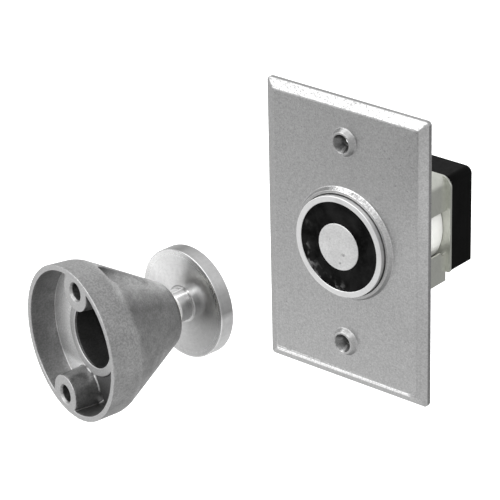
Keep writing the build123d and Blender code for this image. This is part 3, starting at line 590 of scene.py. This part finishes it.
def cast_metal():
    m = Nodes("cast_alloy")
    s = m.axes()
    x, y, z = s
    r = m.radius()
    cloud = m.noise(75, 5, 0.62, distortion=0.3)
    patch = m.noise(230, 4, 0.6)
    grain = m.noise(1400, 3, 0.65)
    base = m.mix(m.span(cloud, 0.3, 0.7, 0, 1), grey(0.33), grey(0.43))
    base = m.mix(m.span(patch, 0.35, 0.7, 0.0, 0.35), base, grey(0.28))
    base = m.mix(m.span(grain, 0.38, 0.62, 0.0, 0.60), base, grey(0.18))
    # outer skin: painted light and shade round the axis, the rim band and the cone each with their own tones
    depth = m.math("MULTIPLY", z, -1.0)
    line = m.math("SUBTRACT", 0.0296, m.math("MULTIPLY", m.math("MAXIMUM", m.math("SUBTRACT", depth, 0.0105), 0.0), 0.5705))
    outside = m.span(m.math("SUBTRACT", r, line), -0.0023, -0.0018, 0, 1)
    band = m.round_tone(x, y, [(-180, 1.0), (-100, 1.0), (-60, 0.86), (-40, 0.84), (-20, 1.15), (0, 1.5), (20, 1.0), (40, 1.0), (60, 0.92), (80, 1.15), (110, 1.0), (180, 1.0)])
    cone_light = m.round_tone(x, y, [(-180, 1.0), (-100, 1.0), (-60, 1.1), (-20, 1.75), (0, 2.0), (20, 1.5), (40, 0.95), (58, 1.9), (80, 1.85), (110, 1.3), (180, 1.0)])
    tone = m.mix(m.span(depth, 0.0085, 0.0140, 0, 1, smooth=True), band, cone_light)
    tone = m.mix(outside, grey(0.5), tone)
    base = m.scaled(base, m.math("MULTIPLY", tone, 2.0))
    # painted light and shade: the upper side of the cone is painted lighter nearer the rim and darker towards the nose
    top_light = m.round_tone(x, y, [(-180, 0), (40, 0), (55, 2.0), (90, 2.0), (112, 1.0), (132, 0), (180, 0)])
    top_light = m.math("MULTIPLY", m.math("MULTIPLY", top_light, 0.5), outside)
    top_light = m.math("MULTIPLY", top_light, m.math("SUBTRACT", m.span(depth, 0.0195, 0.0315, 1.12, 0.70), 1.0))
    base = m.scaled(base, m.math("ADD", 1.0, top_light))
    mx = m.math("SUBTRACT", m.math("MULTIPLY", x, m.math("SIGN", y)), 0.005174)
    my = m.math("SUBTRACT", m.math("ABSOLUTE", y), 0.02241)
    post = m.math("SQRT", m.math("ADD", m.math("MULTIPLY", mx, mx), m.math("MULTIPLY", my, my)))
    # painted light: the access channel by the boss is painted lighter where it would lie in shade
    channel_light = m.math("MULTIPLY", m.span(post, 0.0062, 0.0065, 1, 0), m.span(depth, 0.0113, 0.0116, 0, 1))
    channel_light = m.math("MULTIPLY", channel_light, m.span(outside, 0, 1, 0.8, 0))
    base = m.scaled(base, m.math("ADD", 1.0, channel_light))
    # painted highlight: the sides of the bosses inside the mouth are painted lighter in patches
    post_side_glint = m.math("MULTIPLY", m.span(post, 0.0068, 0.0070, 0, 1), m.span(post, 0.0086, 0.0090, 1, 0))
    post_side_glint = m.math("MULTIPLY", post_side_glint, m.math("MULTIPLY", m.span(r, 0.0255, 0.0262, 1, 0), m.span(depth, 0.0130, 0.0115, 0, 1)))
    base = m.scaled(base, m.math("ADD", 1.0, m.math("MULTIPLY", post_side_glint, m.span(patch, 0.40, 0.60, 0.15, 0.85))))
    # painted shade: the inside of the mouth is darkened
    inside = m.math("MULTIPLY", m.span(r, 0.0266, 0.0275, 1, 0), m.span(z, -0.0012, -0.0004, 1, 0))
    inside = m.math("MULTIPLY", inside, m.span(patch, 0.35, 0.65, 0.75, 1.15))
    base = m.mix(m.math("MULTIPLY", inside, 0.40), base, grey(0.08))
    # painted light and shade on the floor of the mouth: lighter at the top, a white patch at the bottom, dark on the
    # left
    near = m.span(r, 0.0261, 0.0263, 1, 0)
    left = m.span(x, -0.003, 0.001, 1, 0)
    near = m.math("MULTIPLY", near, m.span(post, 0.0080, 0.0083, 0, 1))
    ledge = m.math("MULTIPLY", m.apart(z, -0.0100, 0.00015, 0.0003), near)
    lit = m.mix(m.span(y, -0.006, -0.012, 0, 1), grey(0.88), grey(0.65))
    lit = m.mix(m.span(patch, 0.3, 0.7, 0, 0.5), lit, grey(0.52))
    lit = m.mix(m.span(y, -0.0138, -0.0158, 0, 1), lit, grey(1.0))
    lit = m.mix(left, grey(0.13), lit)
    lit = m.scaled(lit, m.span(grain, 0.35, 0.65, 1.10, 0.84))
    base = m.mix(ledge, base, lit)
    face = m.math("MULTIPLY", m.apart(z, -0.0093, 0.00012, 0.00012), m.span(r, 0.0150, 0.0152, 1, 0))
    base = m.mix(face, base, m.mix(m.span(grain, 0.35, 0.65, 0, 1), grey(0.50), grey(0.40)))
    # painted shade: darkened along the corner where the mouth's wall meets its floor
    nook_shade = m.math("MULTIPLY", m.span(r, 0.0255, 0.0259, 0, 1), near)
    nook_shade = m.math("MULTIPLY", nook_shade, m.apart(z, -0.0099, 0.0004, 0.0004))
    base = m.mix(m.math("MULTIPLY", nook_shade, 0.35), base, grey(0.03))
    # rim and boss faces are ground flat
    ground = m.span(z, -0.00030, -0.00012, 0, 1, smooth=True)
    m.colour(m.mix(ground, base, m.mix(m.span(grain, 0.35, 0.65, 0, 1), grey(0.46), grey(0.35))))
    m.set(Metallic=1.0)
    worn = m.math("SUBTRACT", m.math("MULTIPLY", ledge, 0.06), m.math("MULTIPLY", ground, 0.08))
    m.rough(m.math("ADD", m.span(patch, 0.3, 0.7, 0.38, 0.50), worn))
    m.bump((cloud, 0.10), (patch, 0.03), (grain, 0.022))
    return m.mat


def turned_metal():
    """Turned rings round the local z axis, with the stretched reflections they give."""
    m = Nodes("turned_steel")
    s = m.axes()
    r = m.radius()
    comb = m.t.nodes.new("ShaderNodeCombineXYZ")
    m.link(r, comb.inputs[0])
    m.link(s[2], comb.inputs[1])
    rings = m.noise(3100, 2, 0.5, co=comb.outputs[0])
    broad = m.noise(620, 2, 0.5, co=comb.outputs[0])
    cloud = m.noise(60, 3, 0.5)
    base = m.mix(m.span(rings, 0.25, 0.75, 0, 1), grey(0.64), grey(0.71))
    base = m.mix(m.span(cloud, 0.35, 0.7, 0.0, 0.3), base, grey(0.52))
    base = m.scaled(base, m.span(m.noise(700, 3, 0.6), 0.3, 0.7, 1.07, 0.93))
    # painted light and shade: the sectors of light that turning marks throw are painted round the axis, with painted
    # highlight streaks near the neck; neck and edge are painted darker than the disc's back
    sector = m.round_tone(s[0], s[1], [(-180, 0.9), (-120, 0.88), (-80, 0.80), (-50, 0.70), (-25, 0.60), (0, 0.46), (20, 0.62), (42, 0.98), (62, 0.84), (74, 0.82), (80, 1.10), (92, 1.45), (120, 1.50), (142, 1.34), (162, 0.92), (180, 0.9)])
    back = m.span(s[2], -0.0180, -0.0174, 0, 1)
    disc = m.math("MULTIPLY", m.span(r, 0.0069, 0.0072, 0, 1), m.span(r, 0.0204, 0.0206, 1, 0))
    neck = m.math("MULTIPLY", back, m.span(r, 0.0150, 0.0160, 1, 0))
    edge = m.span(r, 0.0205, 0.0207, 0, 1)
    shaft = m.round_tone(s[0], s[1], [(-180, 0.8), (-60, 0.95), (20, 0.85), (52, 0.75), (58, 1.0), (62, 1.9), (67, 0.8), (76, 0.45), (82, 0.45), (85, 0.9), (89, 0.62), (140, 0.62), (180, 0.8)])
    brim = m.round_tone(s[0], s[1], [(-180, 0.7), (-80, 0.9), (-60, 1.0), (-30, 1.1), (0, 1.2), (7, 0.60), (25, 0.58), (40, 0.9), (65, 0.95), (84, 0.7), (96, 0.42), (110, 0.6), (180, 0.7)])
    plain = m.mix(edge, m.mix(neck, grey(0.5), shaft), brim)
    spread_glint = m.round_tone(s[0], s[1], [(-180, 0), (2, 0), (18, 2.0), (45, 2.0), (60, 0.8), (76, 0), (180, 0)])
    spread_glint = m.math("MULTIPLY", m.math("MULTIPLY", spread_glint, 0.85), m.span(r, 0.0178, 0.0195, 1, 0))
    spread_glint = m.math("MULTIPLY", spread_glint, m.math("SUBTRACT", m.span(r, 0.0100, 0.0165, 0.50, 1.75), 1.0))
    streak_glint = m.round_tone(s[0], s[1], [(-180, 0), (40, 0), (46, 2.0), (49, 2.0), (55, 0), (180, 0)])
    streak_glint = m.math("MULTIPLY", streak_glint, m.span(r, 0.0095, 0.0130, 0.45, 0))
    sector = m.scaled(sector, m.math("ADD", m.math("ADD", 1.0, spread_glint), streak_glint))
    sector = m.mix(m.math("MULTIPLY", disc, back), plain, sector)
    base = m.scaled(base, m.math("MULTIPLY", sector, 2.0))
    m.colour(base)
    m.set(Metallic=1.0, Anisotropic=0.85)
    m.rough(m.span(broad, 0.3, 0.7, 0.27, 0.31))
    t = m.t.nodes.new("ShaderNodeTangent")
    t.direction_type = "RADIAL"
    t.axis = "Z"
    m.link(t.outputs[0], m.bsdf.inputs["Tangent"])
    m.bump((rings, 0.0004), (broad, 0.0008))
    return m.mat


def plastic(name, a, b, rough, grain=0.006, scale=2200, shine=0.5):
    m = Nodes(name)
    m.colour(m.mix(m.span(m.noise(120, 3, 0.6), 0.3, 0.7, 0, 1), a, b))
    m.set(IOR=1.5, Specular_IOR_Level=shine)
    m.rough(m.span(m.noise(400, 3, 0.6), 0.3, 0.7, rough - 0.05, rough + 0.06))
    m.bump((m.noise(scale, 2, 0.5), grain),)
    return m.mat


def sleeve():
    """White film, unlit where it dips behind the frame's window."""
    m = Nodes("white_film")
    s = m.axes()
    base = m.mix(m.span(m.noise(120, 3, 0.6), 0.3, 0.7, 0, 1), (0.80, 0.80, 0.77), (0.86, 0.86, 0.83))
    dip = m.math("MULTIPLY", m.span(s[2], -0.0114, -0.0108, 1, 0), m.span(s[2], -0.0145, -0.0130, 0, 0.95))
    m.colour(m.mix(dip, base, grey(0.02)))
    m.set(IOR=1.5, Specular_IOR_Level=0.4)
    m.rough(m.span(m.noise(400, 3, 0.6), 0.3, 0.7, 0.28, 0.38))
    m.bump((m.noise(900, 2, 0.5), 0.002),)
    return m.mat


MATS = {
    "satin": satin_plate(),
    "pole": ground_pole(),
    "core": core_metal(),
    "resin": resin(),
    "zinc": zinc(),
    "hardware": hardware(),
    "cast": cast_metal(),
    "turned": turned_metal(),
    "cover": plastic("black_plastic", grey(0.0008), grey(0.0025), 0.42, 0.006, 1800, 0.035),
    "rubber": plastic("black_rubber", grey(0.010), grey(0.018), 0.62, shine=0.3),
    "film": sleeve(),
    "nylon": plastic("white_nylon", (0.70, 0.69, 0.65), (0.78, 0.77, 0.73), 0.45),
    "bobbin": plastic("bobbin_plastic", (0.66, 0.62, 0.52), (0.74, 0.70, 0.60), 0.5),
    "board": plastic("board_laminate", (0.03, 0.13, 0.06), (0.05, 0.19, 0.09), 0.3),
    "epoxy": plastic("black_epoxy", grey(0.02), grey(0.035), 0.4),
    "blue": plastic("blue_epoxy", (0.03, 0.10, 0.32), (0.05, 0.14, 0.40), 0.3),
    "green": plastic("green_plastic", (0.03, 0.24, 0.10), (0.05, 0.30, 0.14), 0.42),
    "lead": plastic("lead_insulation", (0.40, 0.03, 0.025), (0.50, 0.05, 0.04), 0.45),
    "copper": plastic("copper_wire", (0.42, 0.15, 0.06), (0.55, 0.22, 0.09), 0.3),
    "dark": hardware(),
}
dark = Nodes("dark_steel")
dark.colour(dark.mix(dark.span(dark.noise(500, 3, 0.6), 0.3, 0.7, 0, 1), grey(0.02), grey(0.04)))
dark.set(Metallic=1.0)
dark.rough(dark.span(dark.noise(900, 3, 0.6), 0.3, 0.7, 0.35, 0.5))
dark.bump((dark.noise(1500, 2, 0.6), 0.006),)
MATS["dark"] = dark.mat

# ------------------------------------------------------------------ wall plate
plate = Shell()


def ring(hw, hh, r, z, lift=None):
    pts = rounded_rectangle(hw, hh, r)
    return [(x, y, z + (lift(x, y) if lift else 0.0)) for x, y in pts]


def bead(height):
    """A worn ridge along the lower crease only."""

    def at(x, y):
        return height if y < -50 and abs(x) < 33.6 else 0.0

    return at


def bevel_rise(d):
    """Height of the faintly pillowed border above its outer edge."""
    t = d / 3.8
    return 1.6 * (1.16 * t - 0.16 * t * t)


HW, HH = 38.1, 58.75
outer = [
    ring(HW - 3.0, HH - 3.0, 1.2, 0.0),
    ring(HW - 1.5, HH - 1.5, 1.3, 0.0),
    ring(HW - 0.22, HH - 0.22, 1.45, 0.0),
    ring(HW - 0.06, HH - 0.06, 1.56, 0.06),
    ring(HW, HH, 1.6, 0.22),
    ring(HW, HH, 1.6, 1.0),
    ring(HW, HH, 1.6, 1.76),
    ring(HW - 0.03, HH - 0.03, 1.57, 1.86),
    ring(HW - 0.10, HH - 0.10, 1.50, 1.93),
    ring(HW - 0.22, HH - 0.22, 1.42, 1.99),
]
for k in range(1, 10):
    d = 0.22 + (3.3 - 0.22) * k / 9
    outer.append(ring(HW - d, HH - d, 1.42 - 0.42 * k / 9, 1.99 + bevel_rise(d) - bevel_rise(0.22)))
top = 1.99 + bevel_rise(3.3) - bevel_rise(0.22)
outer += [
    ring(HW - 3.42, HH - 3.42, 0.98, top + 0.042, bead(0.08)),
    ring(HW - 3.54, HH - 3.54, 0.96, top + 0.078, bead(0.17)),
    ring(HW - 3.66, HH - 3.66, 0.95, top + 0.106, bead(0.21)),
    ring(HW - 3.80, HH - 3.80, 0.95, top + 0.128, bead(0.20)),
    ring(HW - 3.95, HH - 3.95, 0.95, top + 0.140, bead(0.15)),
    ring(HW - 4.15, HH - 4.15, 0.95, 3.497, bead(0.07)),
    ring(HW - 4.35, HH - 4.35, 0.95, 3.50, bead(0.02)),
    ring(HW - 4.60, HH - 4.60, 0.95, 3.50),
    ring(HW - 5.40, HH - 5.40, 0.95, 3.50),
]
plate.band(outer)

collar_line = rounded(
    [(24.6, 3.5), (22.95, 3.5), (22.0, 5.4), (20.8, 5.4), (20.8, 1.3), (22.0, 1.3)],
    [0, 0.45, 0.3, 0.2, 0.12, 0],
    7,
)
collar_line = densify(collar_line, 1.2)
v, f = lathe(collar_line, 160)
plate.add(v, f)
boss_line = rounded(
    [(7.0, 3.5), (5.7, 3.5), (4.5, 5.6), (3.75, 5.6), (1.85, 1.65), (1.85, 1.3), (3.0, 1.3)],
    [0, 0.4, 0.28, 0.14, 0.12, 0.05, 0],
    6,
)
boss_line = densify(boss_line, 0.5)
for side in (41.67, -41.67):
    v, f = lathe(boss_line, 84)
    plate.add([(x, y + side, z) for x, y, z in v], f)


def circle(r, cy, n):
    return [(r * math.cos(2 * math.pi * k / n), cy + r * math.sin(2 * math.pi * k / n)) for k in range(n)]


inner = [(p[0], p[1]) for p in outer[-1]]
v, f = flat_fill(
    [inner, circle(24.6, 0, 160), circle(7.0, 41.67, 84), circle(7.0, -41.67, 84)],
    3.5,
    lambda x, y: abs(x) < HW - 5.4
    and abs(y) < HH - 5.4
    and math.hypot(x, y) > 24.59
    and math.hypot(x, y - 41.67) > 6.99
    and math.hypot(x, y + 41.67) > 6.99,
)
plate.add(v, f)
pocket = [
    ring(HW - 3.0, HH - 3.0, 1.2, 0.0),
    ring(HW - 3.05, HH - 3.05, 1.2, 0.9),
    ring(HW - 3.25, HH - 3.25, 1.3, 1.2),
    ring(HW - 3.6, HH - 3.6, 1.5, 1.3),
    ring(HW - 4.6, HH - 4.6, 1.5, 1.3),
]
plate.band(pocket, flip=True)
inner = [(p[0], p[1]) for p in pocket[-1]]
v, f = flat_fill(
    [inner, circle(22.0, 0, 160), circle(3.0, 41.67, 84), circle(3.0, -41.67, 84)],
    1.3,
    lambda x, y: abs(x) < HW - 4.6
    and abs(y) < HH - 4.6
    and math.hypot(x, y) > 21.99
    and math.hypot(x, y - 41.67) > 2.99
    and math.hypot(x, y + 41.67) > 2.99,
)
plate.add(v, f, flip=True)
v, f = plate.welded()
build("plate_body", v, f, WALL, MATS["satin"], "wall_unit", ["wall_plate"], sharp=60, weighted=True)

# ------------------------------------------------------------------ magnet
cup = densify(
    rounded(
        [
            (6.05, -29.6),
            (21.4, -29.6),
            (21.4, 0.0),
            (20.5, 0.0),
            (20.5, 7.6),
            (18.1, 7.6),
            (18.1, -25.3),
            (6.05, -25.3),
            (6.05, -29.6),
        ],
        [0, 0.15, 0.15, 0.1, 0.26, 0.26, 0, 0, 0],
        8,
    ),
    2.4,
)
v, f = lathe(cup, 180)
build("pole_ring", v, f, WALL, MATS["pole"], "wall_unit", ["pole_cup"], sharp=50, weighted=True)
core = densify(
    rounded([(0, -25.3), (9.5, -25.3), (9.5, 7.6), (0, 7.6)], [0, 0, 0.3, 0], 7),
    1.5,
)
v, f = lathe(core, 128)
core_obj = build("pole_core", v, f, WALL, MATS["core"], "wall_unit", ["core_pole"], sharp=50, weighted=True)

verts, faces = [], []
rows, cols = 22, 150
for i in range(rows + 1):
    t = i / rows
    r = 9.5 + (18.1 - 9.5) * t
    for k in range(cols):
        a = 2 * math.pi * k / cols
        z = 7.17
        z += 0.20 * math.exp(-((r - 9.5) / 0.45) ** 2) + 0.13 * math.exp(-((r - 18.1) / 0.45) ** 2)
        z += 0.05 * math.exp(-((r - 10.6) / 0.25) ** 2)
        z += 0.035 * math.sin(3 * a + 0.7 * r) + 0.03 * math.sin(7 * a - 1.3 * r + 1.0)
        z += 0.02 * math.sin(13 * a + 2.1 * r)
        verts.append((r * math.cos(a), r * math.sin(a), z))
for r, z in ((18.1, 4.6), (9.5, 4.6)):
    for k in range(cols):
        a = 2 * math.pi * k / cols
        verts.append((r * math.cos(a), r * math.sin(a), z))
order = list(range(rows + 3))
for i in range(rows + 3):
    a, b = i, (i + 1) % (rows + 3)
    for k in range(cols):
        j = (k + 1) % cols
        faces.append((a * cols + k, b * cols + k, b * cols + j, a * cols + j))
build("resin_fill", verts, faces, WALL, MATS["resin"], "wall_unit", ["potting_ring"], sharp=50)

# ------------------------------------------------------------------ armature housing
COS, SIN = math.cos, math.sin
BOSSES = [(23 * COS(math.radians(77 + a)), 23 * SIN(math.radians(77 + a))) for a in (0, 180)]


def housing(x, y, z):
    d = -z
    r = np.hypot(x, y)
    band = (r - (29.13 - 0.0519 * d)) * 0.998
    flank = (r - (28.6 - 0.5705 * (d - 10.5))) * 0.8686
    form = meet(band, flank, 0.9)
    form = meet(form, d - 41.5, 2.5)
    form = meet(form, 0.06 - d, 0.2)
    mouth = meet((r - (27.0 - 0.07 * d)) * 0.998, d - 10.0, 0.3)
    void = mouth
    for k in (0, 1):
        c, s = BOSSES[k][0] / 23, BOSSES[k][1] / 23
        p, q = x * c + y * s, y * c - x * s
        wedge = (np.abs(q) - (p - 12.2)) * 0.7071
        wall = (r - np.where(d < 10, 27.0 - 0.07 * d, 26.3 - 0.59 * (d - 10))) * 0.9
        pocket = meet(meet(wedge, wall, 0.7), meet(d - 20.0, 15.2 - r, 0.6), 0.6)
        void = join(void, np.maximum(pocket, 9.0 - d), 0.2)
    body = meet(form, -void, 0.2)
    tube = meet(r - 15.0, 9.3 - d, 0.3)
    body = join(body, np.maximum(tube, d - 30), 0.3)
    for bx, by in BOSSES:
        q = np.hypot(x - bx, y - by)
        boss = np.maximum((q - (7.2 + 0.0699 * d)) * 0.9976, d - 21.0)
        body = join(body, np.maximum(boss, form), 0.7)
    body = np.maximum(body, form)
    for bx, by in BOSSES:
        q = np.hypot(x - bx, y - by)
        body = meet(body, (3.1 + 0.8 * np.clip(0.85 - d, 0, 0.85) - q) * 0.85, 0.12)
        body = meet(body, -meet(q - 6.0, 11.7 - d, 0.3), 0.4)
    body = meet(body, -np.maximum(r - 11.8, d - 24.0), 0.35)
    seat = np.where(d < 33, r - 8.3, np.where(d < 37.02, np.hypot(r, d - 33) - 8.05, r - 6.97))
    body = np.maximum(body, -seat)
    body = np.maximum(body, -np.maximum(r - 8.7, 38.6 - d))
    return body


step = 0.42
pts, quads, normals = surface(housing, (-30, -30, -42.6), (30, 30, 1.2), step)
build("housing_casting", pts, quads, HOUSING, MATS["cast"], "housing", ["armature_housing"], normals=normals)

# ------------------------------------------------------------------ catch plate, turned in one piece
catch = rounded(
    [
        (0, 4.0),
        (2.6, 4.0),
        (3.0, 3.4),
        (3.0, -5.7),
        (5.5, -5.7),
        (5.5, -10.3),
        (6.2, -11.3),
        (6.2, -16.6),
        (6.6, -16.75),
        (6.6, -17.0),
        (20.9, -17.0),
        (20.9, -22.9),
        (0, -22.9),
    ],
    [0, 0.2, 0.2, 0, 0.2, 0.3, 0.4, 0.1, 0.08, 0.05, 0.36, 0.42, 0],
    6,
)
catch = densify(catch, 1.1)
v, f = lathe(catch, 180)
build("catch_disc", v, [tuple(reversed(q)) for q in f], CATCH, MATS["turned"], "catch", ["catch_plate"], sharp=50, weighted=True)

# ------------------------------------------------------------------ materials of the nodes that stay
STAY = {
    "magnet_frame": "zinc",
    "bridge_plate": "zinc",
    "label_wrap": "film",
    "coil_bobbin": "bobbin",
    "coil_winding": "copper",
    "coil_leads": "lead",
    "plate_fixing_screws": "hardware",
    "centre_screw": "hardware",
    "lock_washer": "hardware",
    "rear_cover": "cover",
    "cover_screws": "hardware",
    "cable_grommet": "rubber",
    "circuit_board": "board",
    "board_spacers": "nylon",
    "board_screws": "hardware",
    "bridge_rectifier": "epoxy",
    "surge_varistor": "blue",
    "terminal_block": "green",
    "terminal_screws": "hardware",
    "nose_bush": "nylon",
    "swivel_ball": "hardware",
    "pressure_cup": "nylon",
    "disc_spring": "dark",
    "retaining_plug": "dark",
}
for name, key in STAY.items():
    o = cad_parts[name]
    o.data.materials.clear()
    o.data.materials.append(MATS[key])

# ------------------------------------------------------------------ floor, light, camera
FLOOR_Z = -0.12
mesh = bpy.data.meshes.new("floor")
n = 64
fv = [(0, 0, FLOOR_Z)]
for rr in (0.3, 0.8, 2.0, 5.0):
    fv += [(rr * math.cos(2 * math.pi * k / n), rr * math.sin(2 * math.pi * k / n), FLOOR_Z) for k in range(n)]
ff = [(0, 1 + k, 1 + (k + 1) % n) for k in range(n)]
for q in range(3):
    a, b = 1 + q * n, 1 + (q + 1) * n
    ff += [(a + k, b + k, b + (k + 1) % n, a + (k + 1) % n) for k in range(n)]
mesh.from_pydata(fv, [], ff)
floor = bpy.data.objects.new("floor", mesh)
bpy.context.scene.collection.objects.link(floor)
m = Nodes("pale_floor")
m.colour(m.mix(m.span(m.noise(3, 2, 0.5), 0.3, 0.7, 0, 1), grey(0.90), grey(0.93)))
m.set(Roughness=0.9)
m.bsdf.inputs["Emission Color"].default_value = (1, 1, 1, 1)
m.bsdf.inputs["Emission Strength"].default_value = 0.42
mesh.materials.append(m.mat)
floor.visible_glossy = False

world = bpy.data.worlds.new("studio")
bpy.context.scene.world = world
world.use_nodes = True
wt = world.node_tree
wt.nodes.clear()
wout = wt.nodes.new("ShaderNodeOutputWorld")
wbg = wt.nodes.new("ShaderNodeBackground")
wt.links.new(wbg.outputs[0], wout.inputs[0])
wco = wt.nodes.new("ShaderNodeTexCoord").outputs["Generated"]


def glow(direction, inner, outer, gain, squash=(1, 1, 1)):
    """A soft bright or dark patch of the studio: 1 inside the inner angle, 0 past the outer one, times gain."""
    s = wt.nodes.new("ShaderNodeVectorMath")
    s.operation = "MULTIPLY"
    s.inputs[1].default_value = squash
    wt.links.new(wco, s.inputs[0])
    nrm = wt.nodes.new("ShaderNodeVectorMath")
    nrm.operation = "NORMALIZE"
    wt.links.new(s.outputs[0], nrm.inputs[0])
    d = wt.nodes.new("ShaderNodeVectorMath")
    d.operation = "DOT_PRODUCT"
    dd = Vector([a * b for a, b in zip(direction, squash)]).normalized()
    d.inputs[1].default_value = dd
    wt.links.new(nrm.outputs[0], d.inputs[0])
    r = wt.nodes.new("ShaderNodeMapRange")
    r.interpolation_type = "SMOOTHSTEP"
    r.inputs["From Min"].default_value = math.cos(math.radians(outer))
    r.inputs["From Max"].default_value = math.cos(math.radians(inner))
    r.inputs["To Max"].default_value = gain
    wt.links.new(d.outputs["Value"], r.inputs["Value"])
    return r.outputs["Result"]


total = None
for patch in (
    glow((-0.62, -0.77, 0.15), 14, 27, 1.9, (1, 1, 1.6)),
    glow((-0.05, -0.66, 0.75), 24, 42, 1.5),
    glow((0.48, -0.30, 0.82), 6, 15, 0.9),
    glow((0.55, -0.80, -0.20), 6, 18, 0.25),
    glow((-0.54, -0.12, 0.83), 10, 24, 2.0),
    glow((-0.95, -0.30, -0.05), 12, 30, 0.4),
    glow((-0.60, -0.42, -0.68), 5, 17, 1.0),
    glow((0.20, 0.88, -0.42), 10, 32, -0.40),
    glow((0.75, 0.50, -0.42), 16, 34, -0.35),
):
    if total is None:
        total = patch
    else:
        a = wt.nodes.new("ShaderNodeMath")
        a.operation = "ADD"
        wt.links.new(total, a.inputs[0])
        wt.links.new(patch, a.inputs[1])
        total = a.outputs[0]
a = wt.nodes.new("ShaderNodeMath")
a.operation = "ADD"
a.inputs[1].default_value = 0.88
wt.links.new(total, a.inputs[0])
wt.links.new(a.outputs[0], wbg.inputs["Strength"])
wbg.inputs["Color"].default_value = (1, 1, 1, 1)

AZ, EL, ROLL = math.radians(40.38), math.radians(25.43), math.radians(-1.28)
back = Vector((math.sin(AZ) * math.cos(EL), -math.cos(AZ) * math.cos(EL), math.sin(EL)))
right = Vector((math.cos(AZ), math.sin(AZ), 0))
up = back.cross(right)
rx = right * math.cos(ROLL) + up * math.sin(ROLL)
ux = -right * math.sin(ROLL) + up * math.cos(ROLL)
at = back * 1136.2 - rx * 36.68 - ux * 2.87 + Vector((0, -2.3, 0))
cam_data = bpy.data.cameras.new("camera")
cam_data.lens = 216.0
cam_data.sensor_width = 36.0
cam_data.clip_start, cam_data.clip_end = 0.05, 20.0
cam = bpy.data.objects.new("camera", cam_data)
bpy.context.scene.collection.objects.link(cam)
m4 = Matrix((rx, ux, back)).transposed().to_4x4()
m4.translation = at * MM
cam.matrix_world = m4
bpy.context.scene.camera = cam
bpy.context.scene.view_settings.view_transform = "Standard"
